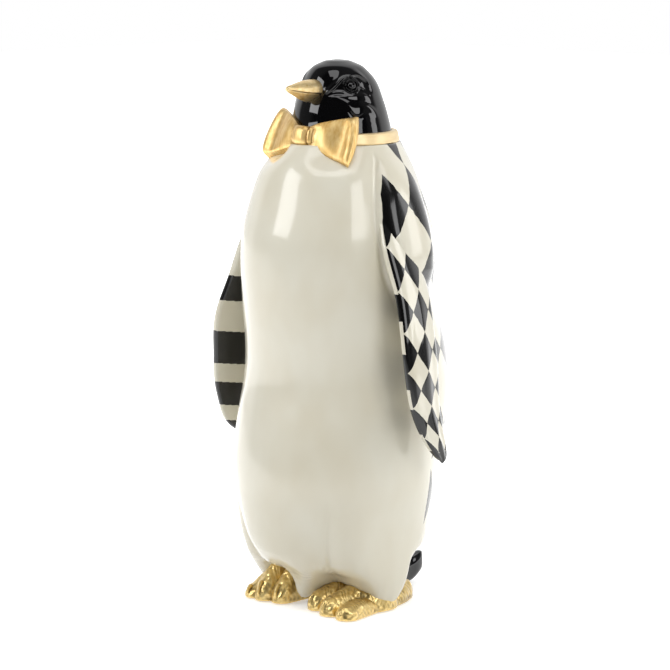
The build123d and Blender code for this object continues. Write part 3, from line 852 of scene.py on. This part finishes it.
def makeFlipper(side, name, node):
    stations = flipper["stations"]
    part = np.linspace(0, 1, flipper["rows"])
    start = stations[0, 0]
    end = stations[-1, 0] - 2.0
    height = start + (end - start) * (1 - (1 - part) ** 1.25)
    centreX, centreY, chord, thick = curvesAt(-height, stations * (-1, 1, 1, 1, 1))
    blunt = np.sqrt(np.clip(1 - ramp(part, 0.90, 1.0) ** 2 * 0.995, 0, 1))
    section = np.linspace(0, fullTurn, flipper["columns"] + 1)[None, :]
    c = np.cos(section)
    s = np.sin(section)
    along = c * (chord * blunt)[:, None] / 2
    outer, inner = (np.abs(s) ** power * (thick * blunt)[:, None] * share
                    for power, share in (flipper["outer"], flipper["inner"]))
    high, number = flipper["feather"]
    feather = high * np.abs(s) * np.cos(c * number) * ramp(part, 0.15, 0.4)[:, None]
    stand = np.where(s > 0, outer + feather, -inner)
    turned = math.radians(flipper["turned"])
    forward = smoothCurve(height, *flipper["rightForward"]) if side < 0 else 0 * height
    x = side * (centreX[:, None] + stand * math.cos(turned) - along * math.sin(turned))
    y = (centreY - forward)[:, None] + along * math.cos(turned) + stand * math.sin(turned)
    z = height[:, None] + 0 * along
    # the pattern narrows and shortens with the blade
    fine = np.linspace(100, 320, 441)
    shrink = glaze["flipperCell"][1] / np.interp(fine, *flipper["cells"])
    run = np.concatenate([[0], np.cumsum((shrink[1:] + shrink[:-1]) / 2 * np.diff(fine))])
    width = along / np.maximum(chord * blunt, 6.0)[:, None] * flipper["blade"]
    uv = np.stack([width, np.interp(height, fine, run)[:, None] + 0 * z], 2)
    slant = z + flipper["bandSlant"] * along
    tone = np.max([np.minimum(top - slant, slant - bottom) for top, bottom in flipper["bands"]], 0)
    values = {"innerFace": np.where(s < 0.12, 1.0, 0.0) + 0 * z,
              "bandTone": np.where(tone > 0, tone, -1.0), "tipTone": flipper["tip"] - z}
    step = -1 if side > 0 else 1  # so that the faces of both point outwards
    mesh = tubeMesh(name, np.stack([x, y, z], 2)[::step, :-1], uv[::step],
                    {key: value[::step, :-1] for key, value in values.items()})
    return finishPiece(name, [mesh], flipperGlaze, [node])


makeFlipper(1, "left_flipper", "flipper_left")
makeFlipper(-1, "right_flipper", "flipper_right")


# feet: three scaled toes with claws, a heel and a thin sole

foot = {
    "base": 0.8,
    # each toe: root, middle of its rounded end, its radius, the height of its ridge at shares of
    # the way from root to end, and the top of its claw
    "left": (
        ((24, -10), (18.5, -40), 9.0, ((0, 0.45, 0.75, 1), (28, 21.8, 18.6, 15.6)), 12.6),
        ((40, -12), (38.5, -47), 9.6, ((0, 0.46, 0.75, 1), (27, 20.6, 17.4, 14.6)), 12.2),
        ((48, -8), (57.5, -49.5), 9.2, ((0, 0.3, 0.6, 1), (5, 10, 12.6, 11.2)), 9.6),
    ),
    "right": (
        ((22, -10), (19.5, -42), 8.6, ((0, 0.6, 0.85, 1), (33, 28.5, 22.5, 18.0)), 15.2),
        ((36, -10), (35.5, -44), 8.8, ((0, 0.65, 0.85, 1), (34, 30, 24.0, 19.0)), 15.8),
        ((44, -10), (48.5, -42), 8.5, ((0, 0.6, 0.85, 1), (28, 21, 15, 12)), 10.0),
    ),
    # lump that joins the toes under the leg: middle, half sizes
    "leftInstep": ((40, -8, 1), (22, 24, 26)), "rightInstep": ((36, -8, 1), (19, 24, 30)),
    "claw": 1.7, "clawLow": 3.6, "clawReach": 5.5,
    "scute": 3.4, "scuteHigh": 0.16,  # spacing and height of the arcs across a toe
    "crinkle": 0.15, "crinkleLong": (3.5, 9), "crinkleWaves": 22, "seed": 11,
    # half width, height and middle of the sole and heel from front to back
    "sole": ((-46, -34, -20, -6, 10, 22, 30, 37, 42, 46),
             (9, 17, 18, 16.5, 14.5, 13.0, 11.0, 8.2, 5.2, 1.2)),
    "soleTall": ((-46, -20, -4, 6, 14, 26, 36, 42, 46),
                 (3.4, 4.0, 5.0, 7.5, 10.0, 13.0, 14.0, 12.4, 7.0)),
    "soleMiddle": ((-46, -20, 0, 20, 36, 46), (37, 41, 42, 39, 36.2, 35)),
    "voxel": 0.5, "smooth": 7,
    # painted shade: share of the near and wide hollows, its ground, the heel's and the lower edge's
    "paintedShade": (2.6, 1.2, 0.06, 0.30, 0.35), "wideSteps": 14,
}


def toeWay(root, end):
    # length of a toe, its level direction and the direction across it
    way = np.subtract(end, root).astype(float)
    long = np.hypot(*way)
    way /= long
    return long, way, np.array([-way[1], way[0]])


def makeToe(root, end, radius, ridge):
    long, way, cross = toeWay(root, end)
    rounded = 1 + radius / long * np.sin(np.linspace(0, np.pi / 2, 31)[1:])
    part = np.concatenate([np.linspace(0, 1, 70), rounded])
    s, t = np.meshgrid(part, np.linspace(0, fullTurn, 65)[:-1], indexing="ij")
    past = np.clip((s - 1) * long / radius, 0, 1)
    narrow = np.sqrt(np.clip(1 - past ** 2, 0.0004, 1))
    lower = np.clip(1 - past ** 2.8, 0.001, 1) ** 0.42
    # the ridge goes on falling over the rounded end
    places, heights = ridge
    slope = (heights[-1] - heights[-2]) / (places[-1] - places[-2])
    tall = smoothCurve(np.minimum(s, 1), places, heights) + slope * np.clip(s - 1, 0, 1) - foot["base"]
    up = np.sin(t)
    across = np.cos(t) * radius * (1.10 - 0.10 * s) * narrow * (1 - 0.10 * np.clip(-up, 0, 1))
    x = root[0] + way[0] * s * long + cross[0] * across
    y = root[1] + way[1] * s * long + cross[1] * across
    z = foot["base"] + np.clip(up, 0, 1) ** 0.60 * tall * lower
    return tubeMesh("toe", np.stack([x, y, z], 2)[::-1])


def makeClaw(root, end, radius, top):
    # a nail that starts on the toe, bends over its end and points at the floor
    part, turn = sweepGrid(0, 1, 40, 32)
    _, way, cross = toeWay(root, end)
    bend = part * np.pi / 2 * 0.98
    start = np.sqrt(np.clip(part / 0.15, 0, 1))
    size = foot["claw"] * start * (1 - 0.45 * part) * np.sqrt(np.clip((1 - part) / 0.10, 0.02, 1))
    reach = foot["clawReach"]
    across = np.cos(turn) * size
    normal = np.sin(turn) * size
    ahead = radius - reach + 0.4 + reach * np.sin(bend) + normal * np.sin(bend)
    x = end[0] + way[0] * ahead + cross[0] * across
    y = end[1] + way[1] * ahead + cross[1] * across
    z = top - (top - foot["clawLow"]) * (1 - np.cos(bend)) ** 0.9 + normal * np.cos(bend)
    return tubeMesh("claw", np.stack([x, y, z], 2)[::-1])


def makeInstep(side, middle, sizes):
    rise, turn = sweepGrid(-0.1, np.pi / 2, 40, 80)
    x = side * (middle[0] + sizes[0] * np.cos(rise) * np.cos(turn))
    y = middle[1] + sizes[1] * np.cos(rise) * np.sin(turn)
    z = middle[2] + sizes[2] * np.maximum(np.sin(rise), 0)
    return tubeMesh("instep", np.stack([x, y, z], 2)[:, ::side])


def makeSole(side):
    y, turn = sweepGrid(-46, 46, 90, 72)
    half, tall, middle = (smoothCurve(y, *foot[key]) for key in ("sole", "soleTall", "soleMiddle"))
    c, s = blockPower(turn, 0.75)
    rings = np.stack([side * (middle + c * half), y, foot["base"] + np.clip(s, 0, 1) * tall], 2)
    return tubeMesh("sole", rings[::-side])


def neighbourMean(values, edges):
    # mean over each point's neighbours
    total = np.zeros_like(values)
    hits = np.zeros(len(values))
    for a, b in ((0, 1), (1, 0)):
        np.add.at(total, edges[:, a], values[edges[:, b]])
        np.add.at(hits, edges[:, a], 1)
    return total / np.maximum(hits, 1)[:, None]


def readRows(items, key, width, kind=float):
    # one property of all of a mesh's items, as an array of rows
    values = np.empty(len(items) * width, kind)
    items.foreach_get(key, values)
    return values.reshape(-1, width)


def footRelief(toes, place, normals):
    # millimetres along the normal: arcs across the nearest toe, on its top only, and crinkles,
    # a sum of plane waves of many lengths and directions with fixed random phases
    best = np.full(len(place), 1e9)
    scutes = np.zeros(len(place))
    for root, end, radius, ridge, clawTop in toes:
        long, way, cross = toeWay(root, end)
        forward = (place[:, :2] - root) @ way
        across = (place[:, :2] - root) @ cross
        far = np.abs(across) + np.maximum(forward - long, 0) * 0.5
        arc = forward - 0.045 * across ** 2
        phase = arc / foot["scute"] * fullTurn + 2.2 * np.sin(arc * 0.5)
        phase = phase + 1.3 * np.sin(across * 0.6 + arc * 0.3)
        fade = window(forward, (2, 8), (long - 1.0, long + 3.5))
        fade = fade * (1 - ramp(np.abs(across), radius * 0.7, radius))
        scutes = np.where(far < best, np.sin(phase) * fade, scutes)
        best = np.minimum(best, far)
    dice = np.random.default_rng(foot["seed"])
    crinkle = np.zeros(len(place))
    for _ in range(foot["crinkleWaves"]):
        direction = dice.normal(size=3)
        direction /= np.linalg.norm(direction)
        wave = place @ direction * fullTurn / dice.uniform(*foot["crinkleLong"])
        crinkle += np.sin(wave + dice.uniform(0, fullTurn))
    crinkle /= math.sqrt(foot["crinkleWaves"] / 2)
    relief = foot["scuteHigh"] * scutes * ramp(normals[:, 2], 0.15, 0.6) + foot["crinkle"] * crinkle
    return relief * ramp(place[:, 2], foot["base"] + 0.4, foot["base"] + 2.5)


def makeFoot(side, name, node):
    hand = "left" if side > 0 else "right"
    toes = [((side * root[0], root[1]), (side * end[0], end[1]), *rest)
            for root, end, *rest in foot[hand]]
    meshes = [makeSole(side), makeInstep(side, *foot[hand + "Instep"])]
    for root, end, radius, ridge, clawTop in toes:
        meshes += [makeToe(root, end, radius, ridge), makeClaw(root, end, radius, clawTop)]
    lump = joinTubes(name + "_lump", meshes)
    fuse = lump.modifiers.new("fuse", "REMESH")
    fuse.mode = "VOXEL"
    fuse.voxel_size = foot["voxel"] * mm
    soften = lump.modifiers.new("soften", "SMOOTH")
    soften.iterations = foot["smooth"]
    soften.factor = 0.5
    mesh = bpy.data.meshes.new_from_object(lump.evaluated_get(bpy.context.evaluated_depsgraph_get()))
    bpy.data.objects.remove(lump)
    points = readRows(mesh.vertices, "co", 3)
    normals = readRows(mesh.vertex_normals, "vector", 3)
    edges = readRows(mesh.edges, "vertices", 2, np.int32)
    place = points / mm - (0, axisY / mm, 0)
    points = points + normals * (footRelief(toes, place, normals) * mm)[:, None]
    points[:, 2] = np.maximum(points[:, 2], foot["base"] * mm)
    mesh.vertices.foreach_set("co", points.ravel())
    # recess: how far each point lies under its surroundings, near and wide
    wide = points
    for _ in range(foot["wideSteps"]):
        wide = neighbourMean(wide, edges)
    near, cavity = (((means - points) * normals).sum(1) / mm
                    for means in (neighbourMean(points, edges), wide))
    # painted shade: darker in the hollows, towards the heel and along the lower edge by the floor
    nearShare, wideShare, ground, heel, lowEdge = foot["paintedShade"]
    recess = np.clip(near * nearShare + cavity * wideShare, -0.4, 1.0) + ground
    recess += heel * ramp(place[:, 1], 0, 22) + lowEdge * (1 - ramp(place[:, 2], 2.0, 7.0))
    addValues(mesh, "recess", np.clip(recess, 0, 1))
    mesh.shade_smooth()
    mesh.update()
    return finishPiece(name, [mesh], crinkledLeaf, [node])


makeFoot(1, "left_foot", "foot_left")
makeFoot(-1, "right_foot", "foot_right")


# tail: a short stiff wedge with fine feather ridges on its top

tail = {
    # reach behind the axis, half width, top and bottom
    "stations": np.array([
        (40.0, 17.0, 27.0, 3.0), (50.0, 14.0, 22.6, 2.0), (60.0, 11.0, 20.6, 1.6),
        (70.0, 8.8, 20.4, 1.5), (79.0, 7.4, 21.0, 1.8), (85.0, 6.6, 22.0, 4.2),
        (90.5, 5.2, 23.2, 7.2), (94.5, 3.0, 23.6, 10.0), (96.6, 0.8, 22.6, 13.0),
    ]),
    "feather": (0.30, 12),  # height of a ridge, and their spacing over the width
    "rows": 90, "columns": 72,
}


def makeTail():
    rows = tail["stations"]
    reach, turn = sweepGrid(rows[0, 0], rows[-1, 0], tail["rows"], tail["columns"])
    half, top, bottom = curvesAt(reach, rows)
    c, s = blockPower(turn, 0.62)
    high, number = tail["feather"]
    x = c * np.maximum(half, 0.6) * (1 - 0.12 * (s + 1) / 2)
    z = (top + bottom) / 2 + s * (top - bottom) / 2 + high * np.sin(c * number) * np.clip(s, 0, 1)
    mesh = tubeMesh("tail", np.stack([x, reach, z], 2))
    return finishPiece("tail_wedge", [mesh], blackGloss, ["tail"])


makeTail()


# CAD pieces that stay as they are: felt pads, plug and the pins inside

plain = {"foot_pad_left": felt, "foot_pad_right": felt, "base_plug": rawCast}
for pin in ("neck_pin", "beak_pin", "bow_pin", "tail_pin", "flipper_pins", "foot_pins"):
    plain[pin] = birch
for node, material in plain.items():
    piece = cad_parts[node]
    if not piece.material_slots:
        piece.data.materials.append(material)
    for place in piece.material_slots:
        place.material = material
print("CAD pieces finished")


# stage: pale floor, white surround and four soft boxes

stage = {
    "floor": 6.0, "floorTone": "#F4F4F3",
    "whiteNear": 0.42, "whiteFar": 1.1,  # added to the floor for the camera, near the feet and far off
    "nearReach": (0.12, 0.55),
    "floorDark": (0.05, 0.9, 1.0, 0.05),  # the mirrored floor: metres to the camera, and levels there
    "cameraSide": 0.045,  # level of the studio's dark side
    "darkTurn": -4.0,  # middle of that side, from the view
    # from the bird's back to the dark side: how the surround lights, and how it is mirrored
    "lit": (0.12, 0.50, 0.98), "mirrored": (-0.54, -0.32, 1.0), "mirroredSides": 0.16,
    # name, turn from the view, distance, height, width, height of the panel, radiance, aim height
    "boxes": (
        ("left_box", -73, 1.40, 0.92, 0.64, 0.70, 5.7, 0.30),
        ("right_box", 38, 1.40, 0.88, 0.70, 0.76, 4.1, 0.30),
        ("side_strip", 92, 1.40, 0.75, 0.40, 0.80, 3.4, 0.30),
        ("over_box", 0, 0.70, 1.92, 1.70, 0.62, 2.9, 0.30),
    ),
}


def towardsCamera(tree, spot, turnMore=0.0):
    # how far a place or a direction lies to the camera's side of the bird
    return addNode(tree, "VectorMath", spot, (*levelWay(turnMore), 0.0), output="Value",
                   operation="DOT_PRODUCT")


def rayKinds(tree):
    # 1 for what the camera sees itself, and 1 for what metal and lacquer mirror
    rays = addNode(tree, "LightPath").node.outputs
    mirrored = addNode(tree, "Math", rays["Is Glossy Ray"], rays["Is Transmission Ray"],
                       operation="MAXIMUM")
    return rays["Is Camera Ray"], mirrored


def makeFloor():
    half = stage["floor"]
    mesh = bpy.data.meshes.new("floor")
    corners = [(-half, -half, 0), (half, -half, 0), (half, half, 0), (-half, half, 0)]
    mesh.from_pydata(corners, [], [(0, 1, 2, 3)])
    floor = bpy.data.objects.new("floor", mesh)
    bpy.context.collection.objects.link(floor)
    material, tree, shader = newMaterial("white_paper_floor", Roughness=0.7)
    shader.inputs["Base Color"].default_value = hexColour(stage["floorTone"])
    spot = addNode(tree, "TexCoord", output="Object")
    away = addNode(tree, "VectorMath", spot, output="Value", operation="LENGTH")
    glow = addNode(tree, "MapRange", away, *stage["nearReach"], stage["whiteNear"], stage["whiteFar"],
                   interpolation_type="SMOOTHSTEP")
    # mirrored in metal and lacquer it is dark again where the photographer stands
    shade = addNode(tree, "MapRange", towardsCamera(tree, spot), *stage["floorDark"],
                    interpolation_type="SMOOTHSTEP")
    straight, mirrored = rayKinds(tree)
    mirrored = addNode(tree, "Math", mirrored, shade, operation="MULTIPLY")
    seen = addNode(tree, "Math", straight, mirrored, operation="MAXIMUM")
    lift = addNode(tree, "Math", seen, glow, operation="MULTIPLY")
    tree.links.new(lift, shader.inputs["Emission Strength"])
    shader.inputs["Emission Color"].default_value = (1, 1, 1, 1)
    floor.data.materials.append(material)


def makeWorld():
    # white behind the bird and to its sides, dark where the photographer stands
    world = bpy.data.worlds.new("studio")
    bpy.context.scene.world = world
    world.use_nodes = True
    tree = world.node_tree
    background = tree.nodes["Background"]
    front = towardsCamera(tree, addNode(tree, "TexCoord", output="Generated"), stage["darkTurn"])
    # mirrored in metal and lacquer, little more than the white behind the bird shows
    lit, behind = (addNode(tree, "MapRange", front, *stage[key], stage["cameraSide"],
                           interpolation_type="SMOOTHSTEP") for key in ("lit", "mirrored"))
    sides = addNode(tree, "Math", lit, stage["mirroredSides"], operation="MULTIPLY")
    behind = addNode(tree, "Math", behind, sides, operation="MAXIMUM")
    straight, mirrored = rayKinds(tree)
    level = addNode(tree, "Mix", mirrored, data_type="FLOAT", named={2: lit, 3: behind})
    level = addNode(tree, "Mix", straight, data_type="FLOAT", named={2: level, 3: 1.0})
    background.inputs["Color"].default_value = (1, 1, 1, 1)
    tree.links.new(level, background.inputs["Strength"])


def addSoftBox(name, turnFromView, distance, height, wide, tall, radiance, aimHeight):
    # a rectangular lamp round the bird: its power is pi times radiance times area
    data = bpy.data.lights.new(name, "AREA")
    data.shape = "RECTANGLE"
    data.size = wide
    data.size_y = tall
    data.energy = math.pi * radiance * wide * tall
    lamp = bpy.data.objects.new(name, data)
    x, y = levelWay(turnFromView)
    lamp.location = (x * distance, y * distance + axisY, height)
    aim = Vector((0, axisY, aimHeight)) - lamp.location
    lamp.rotation_euler = aim.to_track_quat("-Z", "Y").to_euler()
    bpy.context.collection.objects.link(lamp)


makeFloor()
makeWorld()
for box in stage["boxes"]:
    addSoftBox(*box)
bpy.context.scene.view_settings.view_transform = "Standard"
print("stage and lights set")
